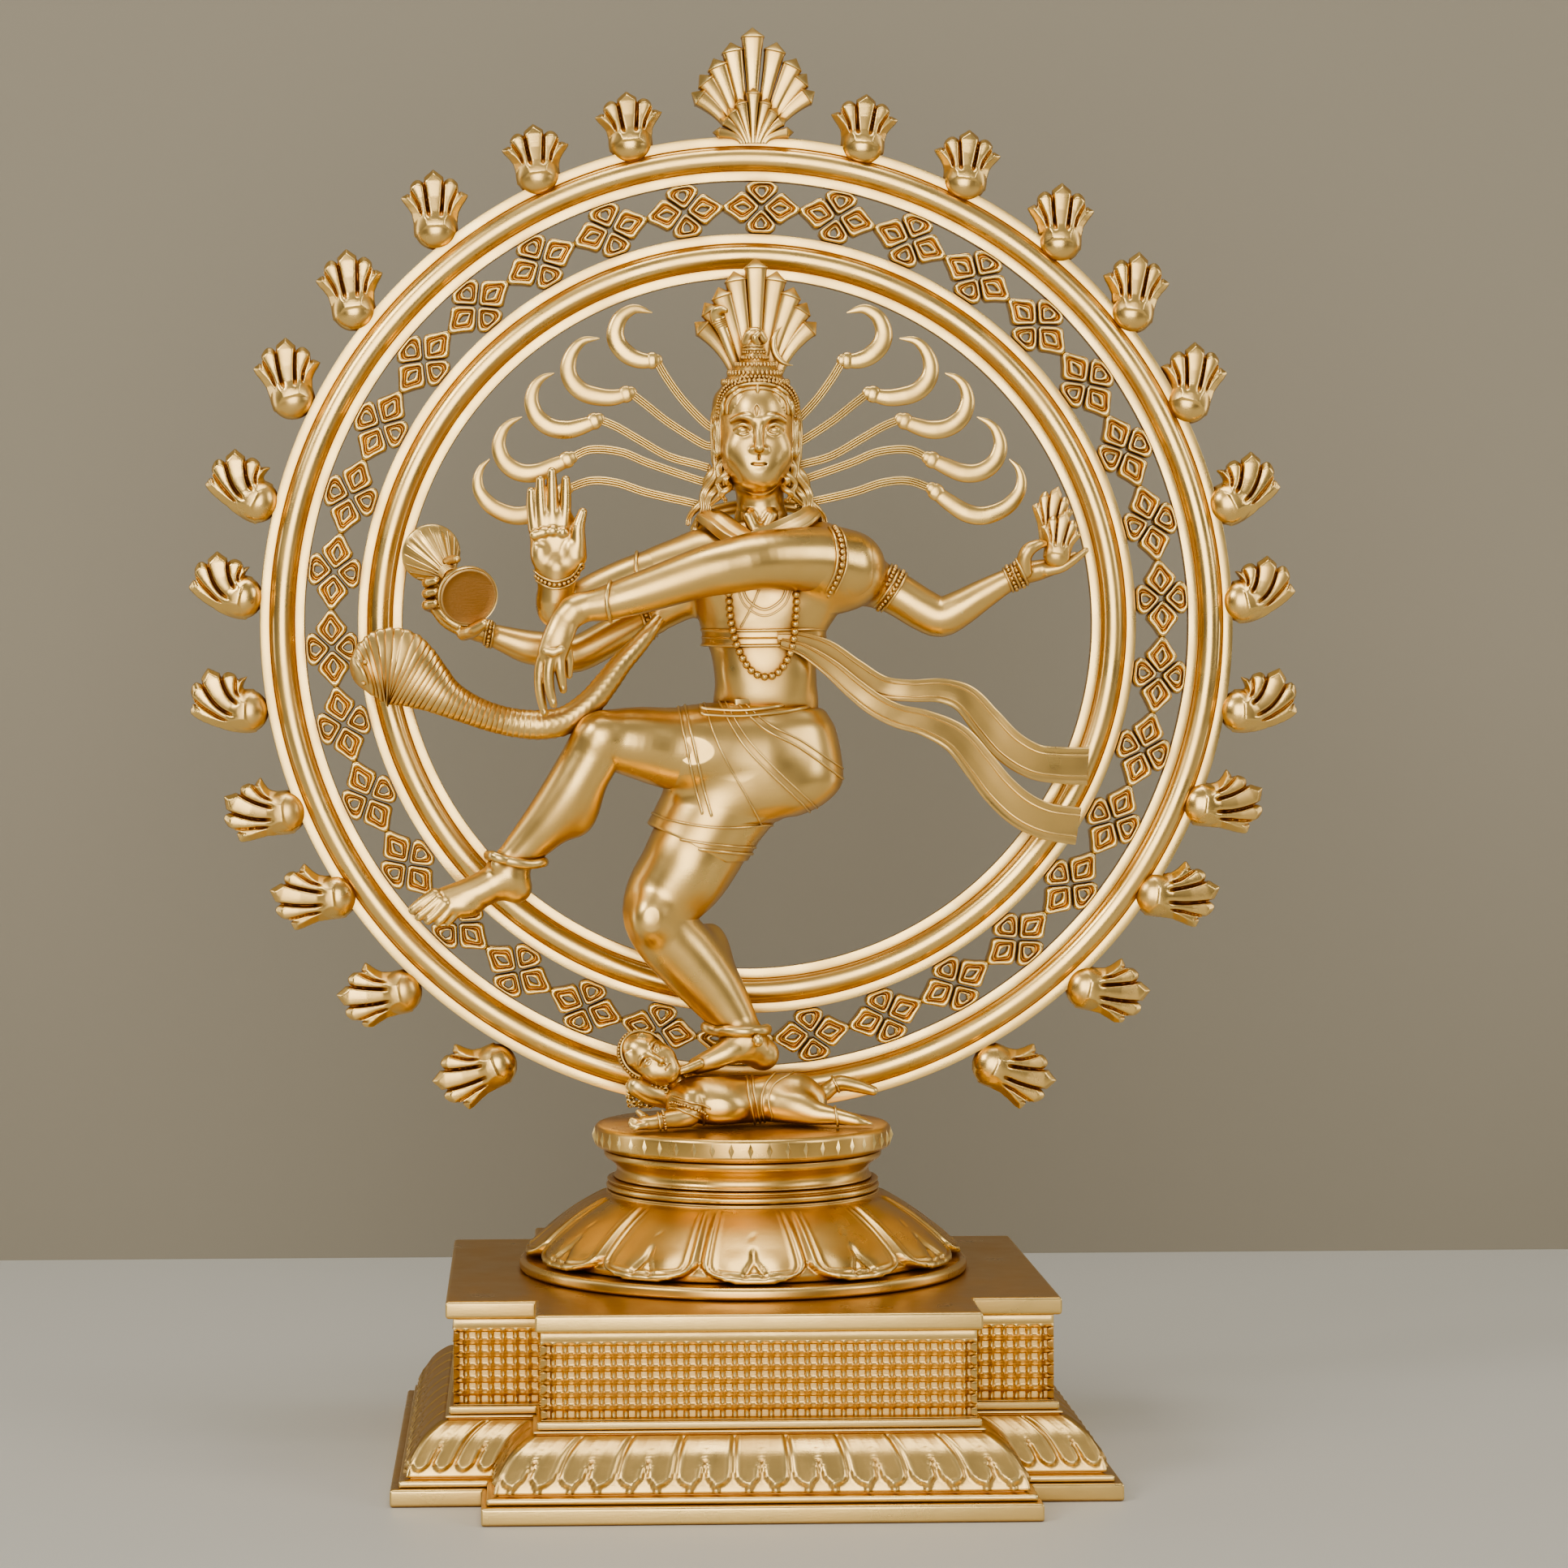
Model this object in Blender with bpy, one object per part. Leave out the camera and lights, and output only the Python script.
# Brass nataraja statue: a dancer with four arms inside a flaming ring, on a lotus pedestal
# over a redented square base. Metres, +Z up, +Y to the back, origin under the base's centre.
# Left is -X and right is +X, as seen from the front.
import math

import bmesh
import bpy
import numpy as np
from mathutils import Vector

for old in list(bpy.data.objects):
    bpy.data.objects.remove(old, do_unlink=True)

# ---------------------------------------------------------------- driving dimensions
BASE_W = 0.437            # plinth width across the flats; every base plan is a share of it
GAP = 0.0003              # gap between neighbouring pieces
PLINTH_TOP = 0.0108
MOULD_TOP = 0.0487
WAIST_TOP = 0.0540
BLOCK_TOP = 0.1060
PLATE_TOP = 0.1170
SEAT_TOP = 0.1252
LOTUS_TOP = 0.1674
COLLAR_TOP = 0.1748
BOWL_TOP = 0.1930
DISC_TOP = 0.2088
BORE_R = 0.0056           # clearance bore for the tie bolt
BOLT_R = 0.0050
RING_X, RING_Y, RING_Z = 0.0072, 0.0520, 0.5269    # centre of the aureole
OUTER_HOOP = (0.2869, 0.3159)                      # inner and outer radius
INNER_HOOP = (0.2238, 0.2527)
HOOP_BAND_T = 0.0070      # thickness of the hoops' flat bands
HOOP_TUBE_R = 0.0068      # half width of the raised moulding on each hoop
FLOWERS = 34
SHARP_ANGLE = math.radians(35)
WELD = 1e-6

# ---------------------------------------------------------------- materials
BRASS = (0.72, 0.50, 0.24)
TONES = {                 # shade that multiplies the brass colour, and roughness
    "base": (0.95, 0.33),
    "pedestal": (1.0, 0.3),
    "aureole": (1.05, 0.27),
    "figure": (1.1, 0.25),
    "ornament": (1.0, 0.3),
}


def brass(name, tone):
    shade, roughness = TONES[tone]
    mat = bpy.data.materials.new(name)
    mat.use_nodes = True
    bsdf = mat.node_tree.nodes["Principled BSDF"]
    bsdf.inputs["Base Color"].default_value = (*(part * shade for part in BRASS), 1)
    bsdf.inputs["Metallic"].default_value = 1.0
    bsdf.inputs["Roughness"].default_value = roughness
    return mat


# ---------------------------------------------------------------- mesh helpers
def angles(count, offset=0.0):
    """Equal steps round a full turn, the first one offset by a share of a step."""
    return [2 * math.pi * (j + offset) / count for j in range(count)]


def make(name, verts, faces, tone, origin=(0, 0, 0)):
    mesh = bpy.data.meshes.new(name)
    origin = Vector(origin)
    mesh.from_pydata([tuple(v - origin) for v in verts], [], faces)
    obj = bpy.data.objects.new(name, mesh)
    bpy.context.scene.collection.objects.link(obj)
    obj.location = origin
    bm = bmesh.new()
    bm.from_mesh(mesh)
    bmesh.ops.recalc_face_normals(bm, faces=bm.faces)
    bm.to_mesh(mesh)
    bm.free()
    mesh.materials.append(brass(name, tone))
    mesh.shade_smooth()
    mesh.set_sharp_from_angle(angle=SHARP_ANGLE)
    return obj


def loft_faces(rings, count):
    faces = []
    for i in range(rings - 1):
        low, high = i * count, (i + 1) * count
        for j in range(count):
            k = (j + 1) % count
            faces.append((low + j, low + k, high + k, high + j))
    return faces


def loft(name, rings, tone, origin=(0, 0, 0)):
    """A solid skinned over the rings and capped at both ends."""
    count = len(rings[0])
    faces = loft_faces(len(rings), count)
    faces.append(tuple(reversed(range(count))))
    faces.append(tuple((len(rings) - 1) * count + j for j in range(count)))
    return make(name, [p for ring in rings for p in ring], faces, tone, origin)


def closed_loft(name, rings, tone):
    """A solid skinned over rings whose last one joins the first."""
    count = len(rings[0])
    faces = loft_faces(len(rings), count)
    last = (len(rings) - 1) * count
    faces += [(last + j, last + (j + 1) % count, (j + 1) % count, j) for j in range(count)]
    return make(name, [p for ring in rings for p in ring], faces, tone)


def spline(points, steps):
    """Catmull-Rom through rows of numbers."""
    pts = [np.array(p, float) for p in points]
    pts = [2 * pts[0] - pts[1]] + pts + [2 * pts[-1] - pts[-2]]
    out = []
    for i in range(1, len(pts) - 2):
        p0, p1, p2, p3 = pts[i - 1:i + 3]
        for s in range(steps):
            t = s / steps
            out.append(0.5 * (2 * p1 + (p2 - p0) * t
                              + (2 * p0 - 5 * p1 + 4 * p2 - p3) * t ** 2
                              + (3 * p1 - p0 - 3 * p2 + p3) * t ** 3))
    out.append(pts[-2])
    return out


def heading(points, i):
    """Unit direction of a path at its point i."""
    return (points[min(i + 1, len(points) - 1)] - points[max(i - 1, 0)]).normalized()


def tube(name, rows, sides=8, steps=1, squash=1.0, tone="figure", tip=0.45):
    """A round limb through rows (x, y, z, radius); squash flattens it in depth.

    Each end gets one more ring, tip times the end radius."""
    end_reach = 0.6       # distance to the end ring, in end radii
    upright = 0.35        # below this the limb runs too nearly along Y to be squared to it
    rows = spline(rows, steps)
    pts = [Vector(row[:3]) for row in rows]
    radii = [row[3] for row in rows]
    first = (pts[0] - pts[1]).normalized() * radii[0] * end_reach
    last = (pts[-1] - pts[-2]).normalized() * radii[-1] * end_reach
    pts = [pts[0] + first] + pts + [pts[-1] + last]
    radii = [radii[0] * tip] + radii + [radii[-1] * tip]
    rings = []
    side = None
    for i, (p, radius) in enumerate(zip(pts, radii)):
        ahead = heading(pts, i)
        depth = Vector((0, 1, 0)) - ahead * ahead.y
        if side is None or depth.length > upright:
            depth.normalize()
        else:
            depth = (side - ahead * side.dot(ahead)).normalized()
        side = depth
        across = ahead.cross(depth)
        rings.append([p + across * (math.cos(t) * radius) + depth * (math.sin(t) * radius * squash)
                      for t in angles(sides, 0.5)])
    return loft(name, rings, tone)


def slices(name, rows, sides=14):
    """Stacked ovals: rows (x, y, z, half width, half depth)."""
    rings = [[Vector((x + math.cos(t) * width, y + math.sin(t) * depth, z))
              for t in angles(sides)] for x, y, z, width, depth in rows]
    return loft(name, rings, "figure")


def lathe(name, profile, steps, tone):
    """A turned ring: rows (radius, z) round a closed section."""
    rings = [[Vector((r * math.cos(t), r * math.sin(t), z)) for r, z in profile]
             for t in angles(steps, 0.5)]
    return closed_loft(name, rings, tone)


def cylinder(name, r, z0, z1, steps):
    """An upright prism with round plan, on the Z axis."""
    return loft(name, [[Vector((r * math.cos(t), r * math.sin(t), z)) for t in angles(steps)]
                       for z in (z0, z1)], "base")


def block(name, low, high, tone="base"):
    x0, y0, z0 = low
    x1, y1, z1 = high
    return loft(name, [[Vector((x0, y0, z)), Vector((x1, y0, z)),
                        Vector((x1, y1, z)), Vector((x0, y1, z))] for z in (z0, z1)], tone)


def fan(name, root_left, root_right, tips, y0, y1, tone):
    """A plate cut as a fan of points (x, z), notched between neighbours, from y0 to y1."""
    notch_share = 0.12    # how far each notch runs towards the middle of the root
    root = (Vector(root_left) + Vector(root_right)) / 2
    outline = [root_left]
    for tip, following in zip(tips, tips[1:]):
        middle = (Vector(tip) + Vector(following)) / 2
        outline += [tip, middle + (root - middle) * notch_share]
    outline += [tips[-1], root_right]
    return loft(name, [[Vector((x, y, z)) for x, z in outline] for y in (y0, y1)], tone)


# ---------------------------------------------------------------- fitting helpers
def largest_body(obj):
    """Welds the mesh and keeps only its largest connected body."""
    bm = bmesh.new()
    bm.from_mesh(obj.data)
    bmesh.ops.remove_doubles(bm, verts=bm.verts, dist=WELD)
    bmesh.ops.dissolve_degenerate(bm, dist=WELD, edges=bm.edges)
    left = set(bm.faces)
    bodies = []
    while left:
        stack = [left.pop()]
        body = set(stack)
        while stack:
            for edge in stack.pop().edges:
                for face in edge.link_faces:
                    if face in left:
                        left.discard(face)
                        body.add(face)
                        stack.append(face)
        bodies.append(body)
    bodies.sort(key=lambda found: -sum(f.calc_area() for f in found))
    if len(bodies) > 1:
        spare = [f for found in bodies[1:] for f in found]
        bmesh.ops.delete(bm, geom=spare, context="FACES")
        loose = [v for v in bm.verts if not v.link_faces]
        bmesh.ops.delete(bm, geom=loose, context="VERTS")
    bm.to_mesh(obj.data)
    bm.free()
    obj.data.set_sharp_from_angle(angle=SHARP_ANGLE)


def boolean(obj, other, operation):
    bpy.context.view_layer.update()
    mod = obj.modifiers.new(operation.lower(), "BOOLEAN")
    mod.operation = operation
    mod.object = other
    mod.solver = "EXACT"
    graph = bpy.context.evaluated_depsgraph_get()
    mesh = bpy.data.meshes.new_from_object(obj.evaluated_get(graph))
    obj.modifiers.clear()
    obj.data = mesh


def join(obj, *others):
    for other in others:
        boolean(obj, other, "UNION")
        bpy.data.objects.remove(other, do_unlink=True)
    largest_body(obj)


def cut_with(obj, cutter):
    boolean(obj, cutter, "DIFFERENCE")
    bpy.data.objects.remove(cutter, do_unlink=True)
    largest_body(obj)


def box_of(obj):
    pts = np.array([obj.matrix_world @ v.co for v in obj.data.vertices])
    return pts.min(axis=0), pts.max(axis=0)


def carve(obj, *neighbours, gap=GAP * 1.3):
    """Cuts each neighbour, grown by the gap, out of this piece."""
    bpy.context.view_layer.update()
    for other in neighbours:
        (low, high), (other_low, other_high) = box_of(obj), box_of(other)
        if (low > other_high + gap).any() or (high < other_low - gap).any():
            continue
        grown = other.copy()
        grown.data = other.data.copy()
        bpy.context.scene.collection.objects.link(grown)
        grown.hide_render = True
        bm = bmesh.new()
        bm.from_mesh(grown.data)
        bm.normal_update()
        for v in bm.verts:
            # the shell factor keeps the gap even at corners; it is held to 2 at sharp ones
            v.co += v.normal * gap * min(v.calc_shell_factor(), 2.0)
        bm.to_mesh(grown.data)
        bm.free()
        cut_with(obj, grown)
    return obj


# ---------------------------------------------------------------- base courses
CUT_BOTTOM, CUT_TOP = -0.01, 0.2      # heights that clear every course


def redented(half, corner, z):
    """Plan of the base: a square of this half width, re-entrant beyond corner (shares)."""
    pts = [(-corner, -half), (corner, -half), (corner, -corner), (half, -corner),
           (half, corner), (corner, corner), (corner, half), (-corner, half),
           (-corner, corner), (-half, corner), (-half, -corner), (-corner, -corner)]
    return [Vector((x * BASE_W, y * BASE_W, z)) for x, y in pts]


def course(name, levels, bore_from=CUT_BOTTOM, wall=None):
    """One casting of the base: a slab with a bolt bore, or a frame with a wall.

    Levels are (half width, corner, z); they and the wall are shares of BASE_W but for z."""
    obj = loft(name, [redented(*level) for level in levels], "base")
    if wall:
        half = min(level[0] for level in levels) - wall
        corner = min(level[1] for level in levels) - wall
        hollow = [redented(half, corner, z) for z in (CUT_BOTTOM, CUT_TOP)]
        cut_with(obj, loft("hollow", hollow, "base"))
    else:
        cut_with(obj, cylinder("bore", BORE_R, bore_from, CUT_TOP, 16))


course("base_plinth", [
    (0.4945, 0.3691, 0.0), (0.5, 0.3746, 0.0022),
    (0.5, 0.3746, PLINTH_TOP - 0.0022), (0.4945, 0.3691, PLINTH_TOP)], bore_from=0.0030)
course("base_lotus_moulding", [
    (0.488, 0.3626, PLINTH_TOP + GAP), (0.488, 0.3626, 0.0155), (0.478, 0.355, 0.0200),
    (0.470, 0.347, 0.0280), (0.450, 0.327, 0.0380), (0.428, 0.306, 0.0450),
    (0.424, 0.302, MOULD_TOP)], wall=0.024)
course("base_waist_fillet", [
    (0.4215, 0.3005, MOULD_TOP + GAP), (0.4215, 0.3005, WAIST_TOP)], wall=0.030)
course("base_lattice_block", [
    (0.4144, 0.2945, WAIST_TOP + GAP), (0.4144, 0.2945, BLOCK_TOP)], wall=0.024)
course("base_top_plate", [
    (0.4215, 0.2981, BLOCK_TOP + GAP), (0.4255, 0.3021, BLOCK_TOP + 0.002),
    (0.4255, 0.3021, PLATE_TOP - 0.002), (0.4215, 0.2981, PLATE_TOP)])

# ---------------------------------------------------------------- pedestal courses
lathe("lotus_seat_ring", [
    (0.1180, PLATE_TOP + GAP), (0.1395, PLATE_TOP + GAP), (0.1419, PLATE_TOP + 0.0022),
    (0.1419, SEAT_TOP - 0.0022), (0.1395, SEAT_TOP), (0.1180, SEAT_TOP)], 48, "pedestal")
# a hollow bell whose foot stands inside the seat ring
lathe("lotus_pedestal", [
    (0.1040, PLATE_TOP + GAP), (0.1170, PLATE_TOP + GAP), (0.1170, SEAT_TOP + GAP),
    (0.1340, SEAT_TOP + GAP), (0.1363, SEAT_TOP + 0.0025), (0.1330, 0.1318), (0.1210, 0.1430),
    (0.1065, 0.1540), (0.0930, 0.1630), (0.0860, LOTUS_TOP), (BORE_R, LOTUS_TOP),
    (BORE_R, LOTUS_TOP - 0.010), (0.0740, LOTUS_TOP - 0.010)], 48, "pedestal")
lathe("pedestal_collar", [
    (BORE_R, LOTUS_TOP + GAP), (0.0845, LOTUS_TOP + GAP), (0.0862, LOTUS_TOP + 0.0025),
    (0.0862, COLLAR_TOP - 0.0025), (0.0845, COLLAR_TOP), (BORE_R, COLLAR_TOP)], 40, "pedestal")
lathe("pedestal_bowl", [
    (BORE_R, COLLAR_TOP + GAP), (0.0804, COLLAR_TOP + GAP), (0.0812, 0.1830),
    (0.0876, BOWL_TOP - 0.0025), (0.0876, BOWL_TOP), (BORE_R, BOWL_TOP)], 40, "pedestal")
disc = lathe("pedestal_disc", [
    (BORE_R, BOWL_TOP + GAP), (0.0915, BOWL_TOP + GAP), (0.0940, BOWL_TOP + 0.0030),
    (0.0940, DISC_TOP - 0.0030), (0.0915, DISC_TOP), (BORE_R, DISC_TOP)], 48, "pedestal")

# a counterbore takes the tie bolt's head under the dwarf; two sockets take the tenons
COUNTERBORE_R, COUNTERBORE_Z = 0.0115, 0.2014
cut_with(disc, cylinder("counterbore", COUNTERBORE_R, COUNTERBORE_Z, DISC_TOP + 0.01, 20))
TENON_OFFSET = 0.026                  # of each tenon from the aureole's centre, in X
TENON_HALF_W, TENON_HALF_T, TENON_DEPTH = 0.005, 0.0028, 0.008
SOCKET_SLACK, SOCKET_FLOOR = 0.0004, 0.0012      # round each tenon and below it


def tenon_block(name, side, slack, z0, z1, tone):
    x = RING_X + side * TENON_OFFSET
    half_w, half_t = TENON_HALF_W + slack, TENON_HALF_T + slack
    return block(name, (x - half_w, RING_Y - half_t, z0), (x + half_w, RING_Y + half_t, z1), tone)


for side in (-1, 1):
    cut_with(disc, tenon_block("socket", side, SOCKET_SLACK,
                               DISC_TOP - TENON_DEPTH - SOCKET_FLOOR, DISC_TOP + 0.01, "base"))

HEAD_R, HEAD_BOTTOM, HEAD_TOP = 0.0095, 0.2018, 0.2080
bolt = cylinder("tie_bolt", BOLT_R, 0.0034, 0.2040, 16)
join(bolt, cylinder("head", HEAD_R, HEAD_BOTTOM, HEAD_TOP, 6))


# ---------------------------------------------------------------- aureole
def ring_point(r, turn, y):
    """A point on the aureole: turn is clockwise from the top, seen from the front."""
    return Vector((RING_X + r * math.sin(turn), y, RING_Z + r * math.cos(turn)))


def hoop(name, inner, outer, steps):
    """A flat band with a raised moulding front and back."""
    mid, half_t = (inner + outer) / 2, HOOP_BAND_T / 2
    crest = half_t + HOOP_TUBE_R * 0.65
    section = [(inner, -half_t), (mid - HOOP_TUBE_R, -half_t), (mid, -crest),
               (mid + HOOP_TUBE_R, -half_t), (outer, -half_t), (outer, half_t),
               (mid, crest), (inner, half_t)]
    return closed_loft(name, [[ring_point(r, turn, RING_Y + depth) for r, depth in section]
                              for turn in angles(steps)], "aureole")


OUTER_STEPS = 48
FOOT_HALF_W = 0.040
outer_hoop = hoop("outer_hoop", *OUTER_HOOP, OUTER_STEPS)
foot = block("foot", (RING_X - FOOT_HALF_W, RING_Y - HOOP_BAND_T / 2, DISC_TOP + GAP),
             (RING_X + FOOT_HALF_W, RING_Y + HOOP_BAND_T / 2, RING_Z - OUTER_HOOP[1] + 0.008),
             "aureole")
tenons = [tenon_block("tenon", side, 0, DISC_TOP - TENON_DEPTH, DISC_TOP + 0.004, "aureole")
          for side in (-1, 1)]
join(outer_hoop, foot, *tenons)
hoop("inner_hoop", *INNER_HOOP, 40)


def floral_band():
    """A band between the hoops that narrows to a neck between neighbouring flowers."""
    half_t = 0.004
    # place in one flower's pitch, and share of the room between the hoops
    stations = ((-0.5, 0.10), (-0.17, 0.96), (0.17, 0.96))
    low, high = INNER_HOOP[1] + GAP, OUTER_HOOP[0] - GAP
    mid = (INNER_HOOP[1] + OUTER_HOOP[0]) / 2
    chord = math.cos(math.pi / OUTER_STEPS)      # the outer hoop's inner side is faceted
    rings = []
    for i in range(FLOWERS):
        centre = math.radians(2.0) + 2 * math.pi * i / FLOWERS
        for place, reach in stations:
            turn = centre + place * 2 * math.pi / FLOWERS
            up, down = mid + reach * (high * chord - mid), mid - reach * (mid - low)
            corners = ((up, -half_t), (down, -half_t), (down, half_t), (up, half_t))
            rings.append([ring_point(r, turn, RING_Y + depth) for r, depth in corners])
    closed_loft("floral_band", rings, "aureole")


floral_band()

# degrees: turn of the bulb round the ring, lean from vertical, and added outward bend
FLAMES = [
    (13.6, 0, 0), (24.8, 2, 2), (37.2, 3, 3), (50.6, 5, 5), (62.8, 10, 8), (75.0, 15, 14),
    (86.4, 20, 18), (98.6, 38, 22), (111.2, 62, 12), (122.4, 76, 8), (134.8, 92, 6),
    (148.4, 128, 4)]
# (distance along, half width, half depth): the bulb, then a fan that widens and flattens
FLAME_ROWS = [
    (-0.0125, 0.004, 0.004), (-0.0095, 0.0095, 0.0085), (0.000, 0.0128, 0.0100),
    (0.0085, 0.0118, 0.0090), (0.0150, 0.0125, 0.0070), (0.0260, 0.0175, 0.0060),
    (0.0310, 0.0200, 0.0045), (0.0370, 0.0060, 0.0030)]
FLAME_SIDES = 8
FLAME_SWELL = 1.08        # brings the flats of the eight-sided rings out to the listed sizes
BULB_MIDDLE = 2           # row at the bulb's middle


def flame(name, side, turn, lean, bend):
    hold = ring_point(OUTER_HOOP[1] + 0.0125, side * math.radians(turn), RING_Y)
    start, end = FLAME_ROWS[0][0], FLAME_ROWS[-1][0]
    rings = []
    pos = Vector((0, 0))
    last = start
    for along, width, depth in FLAME_ROWS:
        share = (along - start) / (end - start)
        angle = math.radians(lean + bend * (1 - 1.6 * share))
        pos = pos + Vector((math.sin(angle), math.cos(angle))) * (along - last)
        last = along
        across = Vector((math.cos(angle), -math.sin(angle)))
        ring = []
        for t in angles(FLAME_SIDES, 0.5):
            p = pos + across * (width * math.cos(t) * FLAME_SWELL)
            ring.append(Vector((hold.x + side * p.x, hold.y + depth * math.sin(t) * FLAME_SWELL,
                                hold.z + p.y)))
        rings.append(ring)
    # seat the bulb's middle on its hold point
    shift = hold - sum(rings[BULB_MIDDLE], Vector()) / FLAME_SIDES
    shift.y = 0
    return loft(name, [[v + shift for v in ring] for ring in rings], "aureole", hold)


for i, spec in enumerate(FLAMES, 1):
    for tag, side in (("l", -1), ("r", 1)):
        carve(flame(f"flame_{tag}{i:02d}", side, *spec), outer_hoop)

# tips (x, z) of the two fans over the ring, from left to right
BACK_TIPS = [
    (-0.02818, 0.87201), (-0.02287, 0.88362), (-0.01386, 0.89419), (-0.00274, 0.90476),
    (0.01155, 0.91428), (0.02896, 0.90481), (0.04003, 0.89427), (0.04687, 0.88425),
    (0.05212, 0.87264)]
FRONT_TIPS = [
    (-0.01538, 0.84572), (-0.01062, 0.85414), (-0.00480, 0.86099), (0.00206, 0.86783),
    (0.01209, 0.87416), (0.02050, 0.86786), (0.02733, 0.86102), (0.03258, 0.85419),
    (0.03836, 0.84577)]
finial = fan("top_finial", (-0.00240, 0.84145), (0.02507, 0.84147), BACK_TIPS,
             RING_Y - 0.002, RING_Y + 0.008, "aureole")
join(finial, fan("front", (-0.00223, 0.83994), (0.02516, 0.83997), FRONT_TIPS,
                 RING_Y - 0.009, RING_Y + 0.001, "aureole"))
carve(finial, outer_hoop)

# ---------------------------------------------------------------- body and legs
# slices: (x, y, z, half width, half depth); tubes: (x, y, z, radius)
torso = slices("torso", [
    (0.01544, 0.0, 0.47449, 0.03360, 0.0235), (0.01574, 0.0, 0.48895, 0.03230, 0.0230),
    (0.01445, -0.001, 0.50701, 0.03358, 0.0240), (0.01521, -0.002, 0.52248, 0.04054, 0.0260),
    (0.01888, -0.002, 0.53794, 0.04778, 0.0275), (0.02184, -0.001, 0.55498, 0.05426, 0.0270),
    (0.02247, 0.0, 0.56946, 0.05583, 0.0240), (0.02307, 0.001, 0.58086, 0.04913, 0.0200),
    (0.01681, 0.0, 0.58806, 0.02843, 0.0170), (0.01174, -0.003, 0.59310, 0.01574, 0.0155),
    (0.01134, -0.006, 0.60431, 0.01495, 0.0150)])
dhoti = slices("dhoti", [
    (0.01699, 0.0, 0.47346, 0.03825, 0.0270), (0.01411, 0.0, 0.45798, 0.04678, 0.0330),
    (0.01297, -0.001, 0.43993, 0.05089, 0.0360), (0.01209, -0.002, 0.42397, 0.05113, 0.0360),
    (0.00791, -0.002, 0.41161, 0.04286, 0.0335), (0.00503, -0.002, 0.40182, 0.02659, 0.0260)])
sleeve = tube("sleeve", [
    (-0.01073, -0.003, 0.41583, 0.03502), (-0.02685, -0.004, 0.38810, 0.03399)], 12, tip=0.97)
thigh_sleeve = tube("thigh_sleeve", [
    (0.00548, -0.010, 0.44373, 0.03090), (-0.02410, -0.016, 0.44548, 0.02987)], 12, tip=0.97)
join(dhoti, sleeve, thigh_sleeve)
carve(dhoti, torso)

standing_leg = tube("standing_leg", [
    (-0.02374, -0.004, 0.39221, 0.03193), (-0.03578, -0.007, 0.37077, 0.029355),
    (-0.04674, -0.010, 0.35555, 0.02472), (-0.05250, -0.012, 0.34233, 0.022145),
    (-0.04682, -0.010, 0.32883, 0.022145), (-0.03334, -0.006, 0.31307, 0.02163),
    (-0.02042, -0.004, 0.29535, 0.019055), (-0.00913, -0.004, 0.27983, 0.01545),
    (-0.00045, -0.005, 0.26750, 0.012875), (-0.00064, -0.008, 0.25543, 0.012875),
    (-0.01845, -0.014, 0.24891, 0.00824), (-0.03615, -0.020, 0.24396, 0.00412)], 10)
carve(standing_leg, dhoti)
raised_leg = tube("raised_leg", [
    (-0.02197, -0.014, 0.44493, 0.028325), (-0.04585, -0.022, 0.44720, 0.02575),
    (-0.06957, -0.030, 0.45098, 0.022145), (-0.08748, -0.034, 0.45008, 0.019055),
    (-0.10024, -0.034, 0.43335, 0.01751), (-0.11044, -0.032, 0.41553, 0.016995),
    (-0.12473, -0.030, 0.39771, 0.01545), (-0.13904, -0.028, 0.38139, 0.01133),
    (-0.14927, -0.028, 0.36513, 0.013905), (-0.16861, -0.030, 0.35666, 0.01030),
    (-0.18689, -0.032, 0.34821, 0.006695), (-0.20465, -0.033, 0.34276, 0.003605)], 10)
carve(raised_leg, dhoti)

# ---------------------------------------------------------------- head, crown and hair
head = slices("head", [
    (0.00968, -0.008, 0.60576, 0.01236, 0.0150), (0.00959, -0.010, 0.61235, 0.01956, 0.0200),
    (0.00957, -0.011, 0.62155, 0.02470, 0.0250), (0.00962, -0.011, 0.63799, 0.02984, 0.0280),
    (0.00994, -0.011, 0.65855, 0.02856, 0.0290), (0.00927, -0.010, 0.67404, 0.02625, 0.0270),
    (0.01019, -0.008, 0.68860, 0.02189, 0.0210), (0.00931, -0.006, 0.70009, 0.01315, 0.0130),
    (0.00959, -0.006, 0.70936, 0.00516, 0.0060)])
carve(head, torso)
CROWN_TIPS = [            # (x, z), from left to right
    (-0.02962, 0.71812), (-0.02234, 0.73052), (-0.01351, 0.74035), (-0.00364, 0.75069),
    (0.01036, 0.75896), (0.02432, 0.75069), (0.03465, 0.74034), (0.04291, 0.73051),
    (0.04910, 0.71809)]
crown = fan("crown_fan", (-0.00797, 0.68811), (0.02724, 0.68809), CROWN_TIPS,
            0.000, 0.010, "figure")
carve(crown, head)

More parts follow.
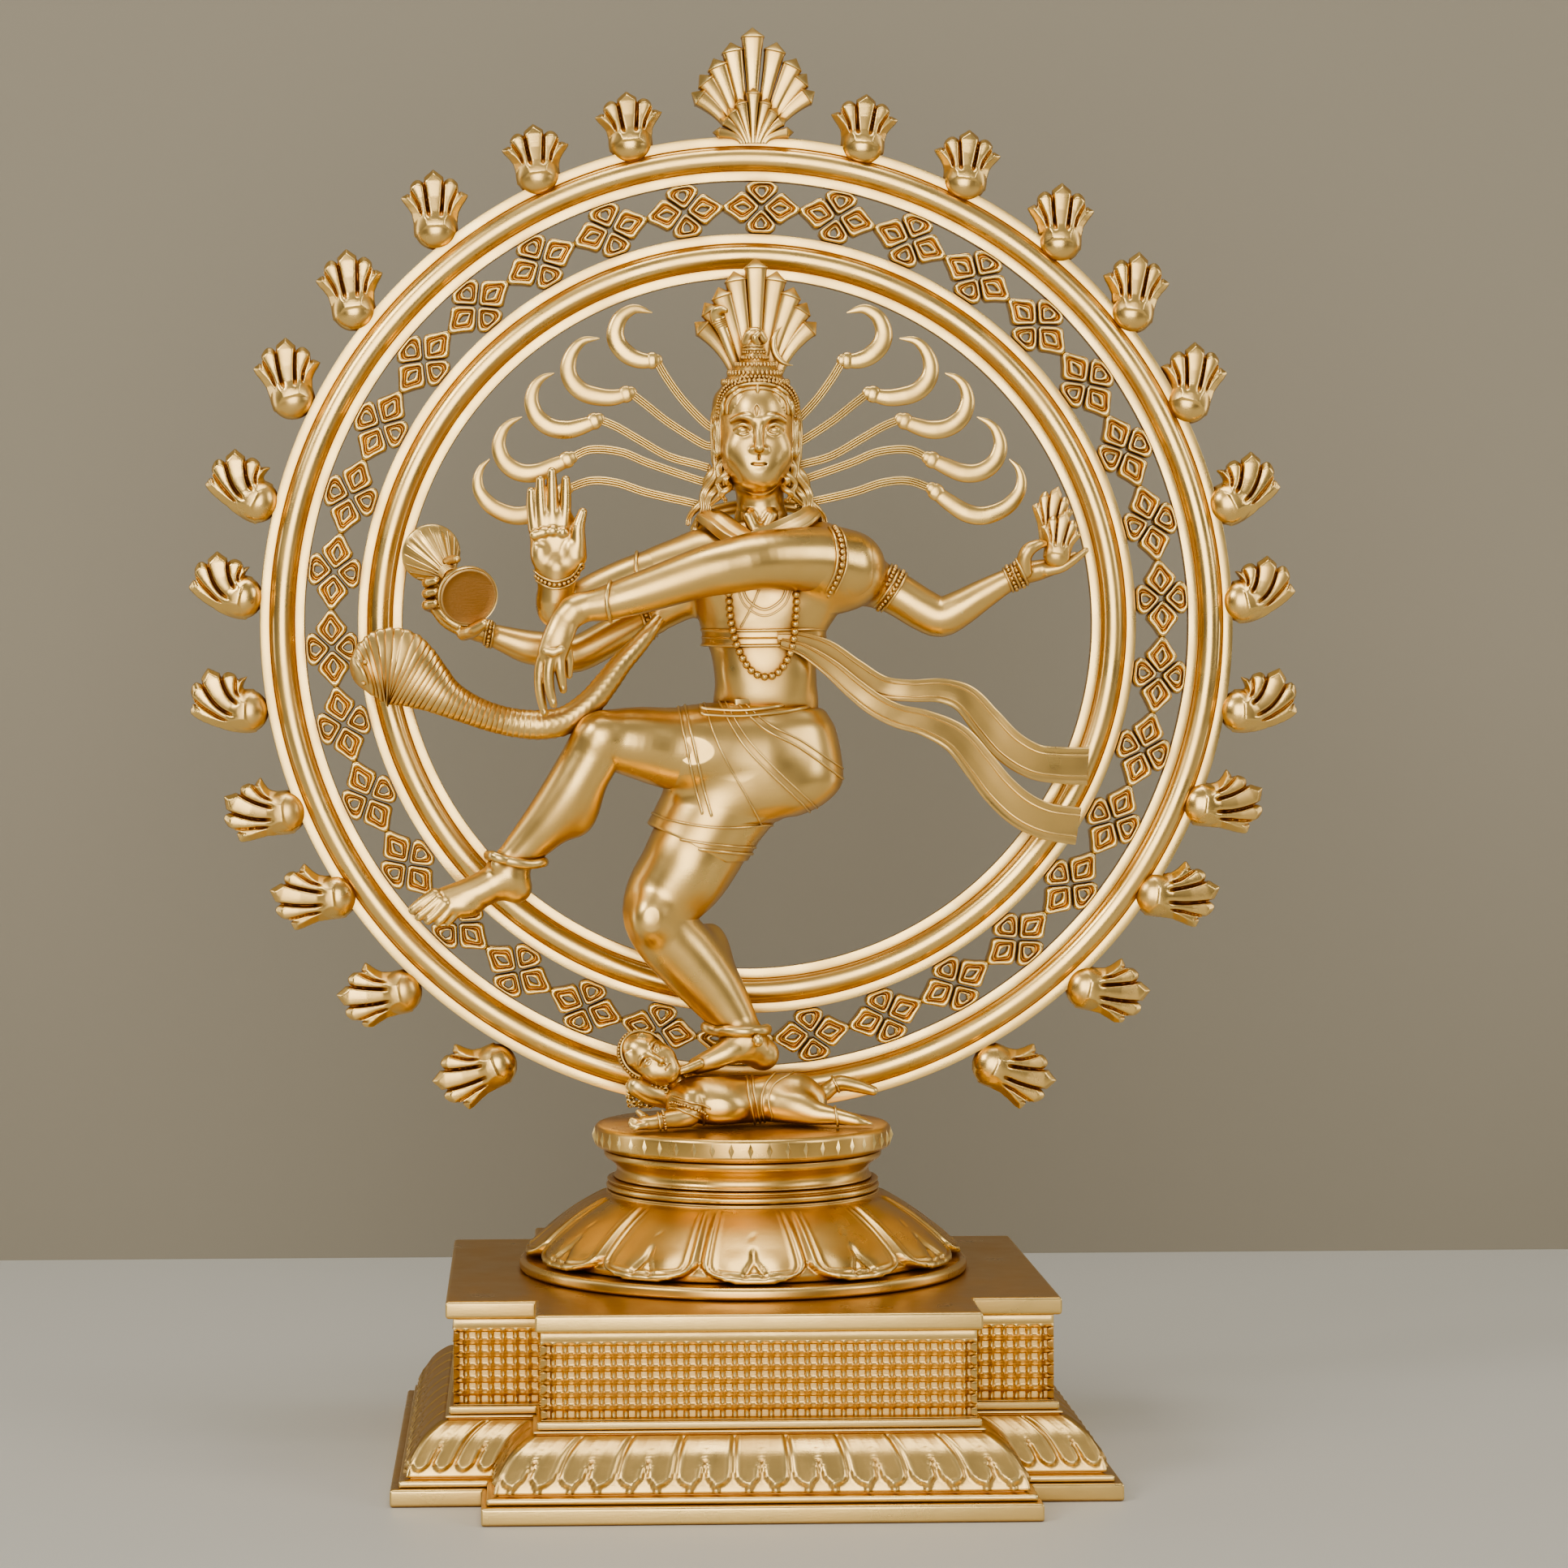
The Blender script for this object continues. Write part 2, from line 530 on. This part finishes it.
# five locks a side, each (x, z) from its collar at the head out along the crescent: lowest,
# outermost, over the top and tip. The two sides differ slightly, so each has its own table.
LOCKS_LEFT = [
    ((-0.02003, 0.65186), (-0.03791, 0.67440), (-0.05586, 0.69442), (-0.06467, 0.69338),
     (-0.08327, 0.71309), (-0.07390, 0.72759), (-0.05525, 0.72448)),
    ((-0.02420, 0.64050), (-0.04833, 0.65475), (-0.07303, 0.67370), (-0.08963, 0.66750),
     (-0.11235, 0.69134), (-0.10298, 0.70792), (-0.08899, 0.70687)),
    ((-0.02786, 0.62862), (-0.06027, 0.64338), (-0.09381, 0.65610), (-0.11456, 0.64577),
     (-0.13520, 0.66858), (-0.12791, 0.68307), (-0.11858, 0.68565)),
    ((-0.02944, 0.61673), (-0.06032, 0.62578), (-0.10942, 0.63281), (-0.13535, 0.61731),
     (-0.15546, 0.64064), (-0.14870, 0.65513), (-0.13937, 0.65822)),
    ((-0.03104, 0.60330), (-0.06296, 0.61026), (-0.10843, 0.61571), (-0.14371, 0.59299),
     (-0.16847, 0.61684), (-0.16533, 0.62719), (-0.15912, 0.63029))]
LOCKS_RIGHT = [
    ((0.03225, 0.65180), (0.05074, 0.67433), (0.06929, 0.69433), (0.07813, 0.69329),
     (0.09691, 0.71301), (0.08759, 0.72755), (0.06886, 0.72444)),
    ((0.03636, 0.64042), (0.06106, 0.65463), (0.08639, 0.67356), (0.10302, 0.66731),
     (0.12600, 0.69118), (0.11667, 0.70780), (0.10262, 0.70677)),
    ((0.03995, 0.62852), (0.07297, 0.64321), (0.10715, 0.65588), (0.12794, 0.64547),
     (0.14884, 0.66830), (0.14159, 0.68286), (0.13223, 0.68546)),
    ((0.04147, 0.61662), (0.07291, 0.62559), (0.12270, 0.63249), (0.14869, 0.61687),
     (0.16908, 0.64023), (0.16235, 0.65478), (0.15298, 0.65791)),
    ((0.04298, 0.60317), (0.07546, 0.61004), (0.12160, 0.61536), (0.15695, 0.59244),
     (0.18204, 0.61630), (0.17894, 0.62670), (0.17270, 0.62983))]
LOCK_R = (0.002575, 0.002575, 0.004635, 0.005665, 0.00515, 0.00309, 0.0012875)
LOCK_Y = (0.004, 0.008, 0.012, 0.012, 0.012, 0.012, 0.012)
# upright strand that carries the locks: (x, z) a side, then the shared depths and radii
SPINE_LEFT = ((-0.01647, 0.66051), (-0.02265, 0.64153), (-0.02573, 0.62097), (-0.02778, 0.59882))
SPINE_RIGHT = ((0.02852, 0.66046), (0.03481, 0.64146), (0.03799, 0.62087), (0.04013, 0.59870))
SPINE_R = (0.003605, 0.00412, 0.00412, 0.003605)
SPINE_Y = (0.002, 0.004, 0.006, 0.008)


def strand(points, depths, radii):
    return [(x, y, z, r) for (x, z), y, r in zip(points, depths, radii)]


def hair_locks(name, spine_points, lock_points):
    spine = tube(name, strand(spine_points, SPINE_Y, SPINE_R), 5)
    join(spine, *[tube("lock", strand(points, LOCK_Y, LOCK_R), 6, squash=0.8)
                  for points in lock_points])
    carve(spine, head, torso)


hair_locks("hair_locks_left", SPINE_LEFT, LOCKS_LEFT)
hair_locks("hair_locks_right", SPINE_RIGHT, LOCKS_RIGHT)

# ---------------------------------------------------------------- arms, rows as for the legs
arm_flame = tube("arm_flame", [
    (0.06976, 0.010, 0.56036, 0.01751), (0.09278, 0.012, 0.54999, 0.013905),
    (0.11336, 0.010, 0.53536, 0.01236), (0.12749, 0.006, 0.52903, 0.01133),
    (0.14911, 0.004, 0.53878, 0.00927), (0.16969, 0.002, 0.55215, 0.006695),
    (0.17788, 0.001, 0.55728, 0.00618), (0.19282, 0.0, 0.56239, 0.007725),
    (0.20970, -0.002, 0.56901, 0.00412), (0.21994, -0.003, 0.57361, 0.00206)], 10)
carve(arm_flame, torso)
arm_crossing = tube("arm_crossing", [
    (0.06625, -0.008, 0.55984, 0.02575), (0.04333, -0.026, 0.56550, 0.021115),
    (0.01157, -0.044, 0.56500, 0.01854), (-0.02432, -0.052, 0.55724, 0.015965),
    (-0.05679, -0.055, 0.54714, 0.01339), (-0.08408, -0.056, 0.53811, 0.01133),
    (-0.10224, -0.056, 0.53160, 0.009785), (-0.11539, -0.057, 0.51449, 0.01030),
    (-0.12049, -0.058, 0.49336, 0.008755), (-0.12358, -0.058, 0.47122, 0.00412)],
    10, squash=0.9)
carve(arm_crossing, torso, arm_flame, gap=GAP * 3)
arm_open_palm = tube("arm_open_palm", [
    (-0.01899, -0.002, 0.56948, 0.01751), (-0.05647, -0.012, 0.55897, 0.01442),
    (-0.09057, -0.022, 0.53934, 0.01339), (-0.11620, -0.026, 0.51891, 0.01339),
    (-0.11873, -0.032, 0.53614, 0.01236), (-0.11767, -0.034, 0.55237, 0.01030),
    (-0.11711, -0.036, 0.57466, 0.01648), (-0.11705, -0.037, 0.59697, 0.01339),
    (-0.11800, -0.038, 0.62027, 0.00618)], 10, squash=0.62)
carve(arm_open_palm, torso, arm_crossing)
arm_drum = tube("arm_drum", [
    (-0.01632, 0.012, 0.55905, 0.01442), (-0.05174, 0.010, 0.53162, 0.01339),
    (-0.08301, 0.004, 0.50887, 0.012875), (-0.10992, 0.0, 0.49963, 0.01030),
    (-0.13307, -0.004, 0.50997, 0.00927), (-0.15102, -0.007, 0.51821, 0.00721),
    (-0.16125, -0.009, 0.52232, 0.006695), (-0.17551, -0.014, 0.52537, 0.007725),
    (-0.18715, -0.018, 0.53863, 0.006695)], 10)
carve(arm_drum, torso, gap=GAP * 3)
carve(arm_drum, arm_crossing, arm_open_palm)

# ---------------------------------------------------------------- what the arms carry
damaru = tube("damaru", [
    (-0.17258, -0.033, 0.54134, 0.01751), (-0.17627, -0.025, 0.54662, 0.01442),
    (-0.18522, -0.010, 0.55828, 0.004635), (-0.19323, 0.004, 0.56746, 0.01545),
    (-0.19647, 0.010, 0.57180, 0.01854)], 12, tip=0.9)
carve(damaru, arm_drum)
hand_flame = tube("hand_flame", [
    (0.19490, -0.004, 0.56484, 0.00309), (0.19881, -0.006, 0.57716, 0.01030),
    (0.20093, -0.006, 0.59160, 0.01339), (0.20110, -0.005, 0.60455, 0.01133),
    (0.20022, -0.004, 0.61338, 0.00412)], squash=0.45)
carve(hand_flame, arm_flame)
cobra = tube("cobra", [
    (-0.05585, -0.022, 0.52494, 0.004635), (-0.07543, -0.026, 0.50350, 0.006695),
    (-0.09087, -0.030, 0.48314, 0.00824), (-0.11133, -0.034, 0.46491, 0.008755),
    (-0.13673, -0.036, 0.46400, 0.008755), (-0.16614, -0.036, 0.47171, 0.008755),
    (-0.19149, -0.035, 0.48346, 0.01133), (-0.21176, -0.034, 0.49672, 0.01854),
    (-0.22696, -0.034, 0.50083, 0.01648), (-0.24214, -0.035, 0.49579, 0.00412)], squash=0.7)
carve(cobra, arm_crossing, arm_open_palm, arm_drum, raised_leg)

# ---------------------------------------------------------------- scarf and ornaments
# the scarf's two flying ends, as (x, y, z) from the waist outwards
UPPER_END = [
    (0.02878, -0.0270, 0.51596), (0.05369, -0.0220, 0.50725), (0.07261, -0.0160, 0.49493),
    (0.08836, -0.0120, 0.48410), (0.10607, -0.0100, 0.48250), (0.12713, -0.0060, 0.48191),
    (0.14318, -0.0010, 0.47616), (0.15667, 0.0040, 0.46263), (0.17010, 0.0080, 0.44802),
    (0.18724, 0.0120, 0.43803), (0.20655, 0.0160, 0.43475), (0.22383, 0.0200, 0.43409)]
LOWER_END = [
    (0.02762, -0.0290, 0.51237), (0.04833, -0.0250, 0.50315), (0.06504, -0.0205, 0.49186),
    (0.08074, -0.0165, 0.47643), (0.09637, -0.0140, 0.46763), (0.11520, -0.0110, 0.46240),
    (0.13635, -0.0060, 0.45249), (0.15135, -0.0010, 0.43583), (0.16422, 0.0030, 0.42017),
    (0.17922, 0.0070, 0.40600), (0.19637, 0.0110, 0.39593), (0.21516, 0.0150, 0.39310)]


def ribbon(name, rows, half_width, thickness):
    """A band seen face on, through rows (x, y, z), thick in depth."""
    pts = [Vector(row) for row in spline(rows, 2)]
    back = Vector((0, thickness / 2, 0))
    rings = []
    for i, p in enumerate(pts):
        ahead = heading(pts, i)
        up = Vector((-ahead.z, 0, ahead.x)).normalized() * half_width
        rings.append([p + up - back, p - up - back, p - up + back, p + up + back])
    return loft(name, rings, "ornament")


def waist_band():
    """The scarf's oval loop round the waist, lower on the right."""
    centre = Vector((0.01498, -0.001, 0.51785))
    outer, inner = (0.0425, 0.0285), (0.0385, 0.0240)      # half sizes in X and Y
    half_height, drop = 0.0060, 0.0024
    corners = ((outer, half_height), (outer, -half_height),
               (inner, -half_height), (inner, half_height))
    return closed_loft("scarf", [
        [centre + Vector((rx * math.cos(t), ry * math.sin(t), rise - drop * math.cos(t)))
         for (rx, ry), rise in corners] for t in angles(20)], "ornament")


scarf = waist_band()
join(scarf, ribbon("upper", UPPER_END, 0.0118, 0.0030), ribbon("lower", LOWER_END, 0.0122, 0.0030))
carve(scarf, torso, dhoti, arm_crossing, arm_flame)

NECKLACE_R = 0.00206
NECKLACE = [              # (x, y, z)
    (-0.00673, -0.0330, 0.53890), (-0.00523, -0.0325, 0.52057), (-0.00005, -0.0300, 0.50326),
    (0.01326, -0.0290, 0.49302), (0.02548, -0.0300, 0.50319), (0.03099, -0.0325, 0.52048),
    (0.03203, -0.0330, 0.53881)]
necklace = tube("bead_necklace", [(*point, NECKLACE_R) for point in NECKLACE], 6, 2,
                tone="ornament")
carve(necklace, torso, scarf, arm_crossing)


def bangle(name, centre, along, rx, ry, r):
    """A closed oval ring of round section about the direction along."""
    centre, axis = Vector(centre), Vector(along).normalized()
    across = axis.cross(Vector((0, 1, 0))).normalized()
    depth = axis.cross(across).normalized()
    rings = []
    for t in angles(16):
        out = across * math.cos(t) * rx + depth * math.sin(t) * ry
        rings.append([centre + out + out.normalized() * (r * math.cos(s))
                      + axis * (r * math.sin(s)) for s in angles(6)])
    return closed_loft(name, rings, "ornament")


carve(bangle("anklet_standing", (0.00007, -0.005, 0.26750), (0.18, 0, 1),
             rx=0.0165, ry=0.0165, r=0.0034), standing_leg)
carve(bangle("anklet_raised", (-0.14567, -0.028, 0.37734), (0.45, 0, 1),
             rx=0.0168, ry=0.0150, r=0.0036), raised_leg)

# ---------------------------------------------------------------- the dwarf under the foot
dwarf = tube("dwarf_body", [
    (-0.03643, -0.026, 0.22771, 0.013905), (-0.02195, -0.022, 0.22618, 0.01648),
    (-0.00332, -0.018, 0.22410, 0.015965), (0.01488, -0.014, 0.22613, 0.015965),
    (0.03043, -0.012, 0.22583, 0.01648), (0.03931, -0.010, 0.22350, 0.01236)], 10)
near_leg = tube("near_leg", [
    (0.02477, -0.020, 0.22159, 0.01030), (0.04200, -0.030, 0.21747, 0.00824),
    (0.05889, -0.036, 0.21395, 0.00515), (0.07707, -0.038, 0.21101, 0.003605)])
far_leg = tube("far_leg", [
    (0.02980, 0.002, 0.22641, 0.00927), (0.04576, 0.008, 0.22465, 0.007725),
    (0.06165, 0.012, 0.22828, 0.005665), (0.08435, 0.010, 0.22628, 0.003605)])
near_arm = tube("near_arm", [
    (-0.03361, -0.032, 0.22630, 0.007725), (-0.03717, -0.044, 0.21645, 0.00618),
    (-0.05467, -0.052, 0.21342, 0.004635), (-0.06988, -0.054, 0.21273, 0.003605)])
join(dwarf, near_leg, far_leg, near_arm)
# trim the dwarf flat where it lies on the disc
cut_with(dwarf, block("floor", (-0.2, -0.2, 0.15), (0.2, 0.2, DISC_TOP + GAP), "figure"))
carve(dwarf, standing_leg)
dwarf_head = slices("dwarf_head", [
    (-0.06170, -0.034, 0.22261, 0.00763, 0.0130), (-0.06162, -0.032, 0.22952, 0.01579, 0.0185),
    (-0.06102, -0.030, 0.24204, 0.01937, 0.0215), (-0.06149, -0.030, 0.25478, 0.01886, 0.0210),
    (-0.06146, -0.030, 0.26396, 0.01274, 0.0150), (-0.06196, -0.030, 0.26803, 0.00612, 0.0080)],
    12)
carve(dwarf_head, dwarf, standing_leg)
